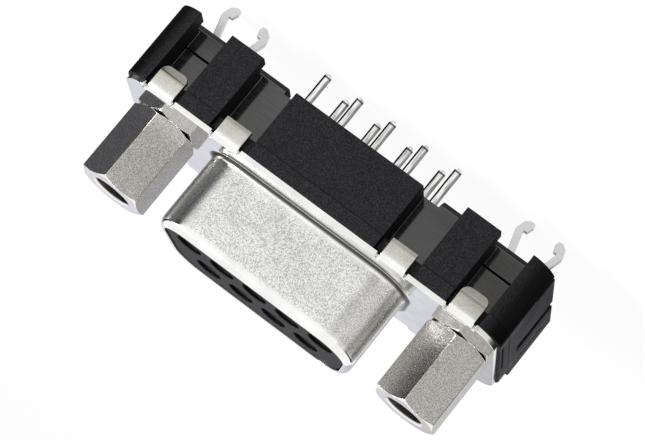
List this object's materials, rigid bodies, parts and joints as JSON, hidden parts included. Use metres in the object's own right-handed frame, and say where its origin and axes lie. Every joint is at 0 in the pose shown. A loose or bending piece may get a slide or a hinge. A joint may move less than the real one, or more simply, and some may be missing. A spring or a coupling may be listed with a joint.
{
  "type": "electrical connector",
  "caption": "Straight board-mount D-shaped socket connector with a plated steel shell, black plastic body, hex screw locks, solder tails and forked board locks.",
  "frame": {"origin": "centre of the board seat, the plane on which the feet stand", "axes": "+Z towards the mating plug, X along the connector's length, the row of five contacts on the -Y side"},
  "size_m": [0.0312, 0.0126, 0.0157],
  "materials": {
    "plated_shell": "tin-plated drawn sheet, satin with a fine grain",
    "black_plastic_front": "moulded, matt",
    "black_plastic_rear": "moulded, matt",
    "tinned_contact": "tin-plated copper alloy",
    "nickel_screw": "nickel-plated, satin",
    "brass_insert": "turned",
    "tinned_lock": "tin-plated sheet, flat pale grey"
  },
  "bodies": {
    "root": {"front_shell": "plated_shell", "front_insulator": "black_plastic_front", "rear_body": "black_plastic_rear", "contact_1": "tinned_contact", "contact_2": "tinned_contact", "contact_3": "tinned_contact", "contact_4": "tinned_contact", "contact_5": "tinned_contact", "contact_6": "tinned_contact", "contact_7": "tinned_contact", "contact_8": "tinned_contact", "contact_9": "tinned_contact", "screw_lock_left": "nickel_screw", "screw_lock_right": "nickel_screw", "threaded_insert_left": "brass_insert", "threaded_insert_right": "brass_insert", "board_lock_left": "tinned_lock", "board_lock_right": "tinned_lock"}
  },
  "joints": []
}
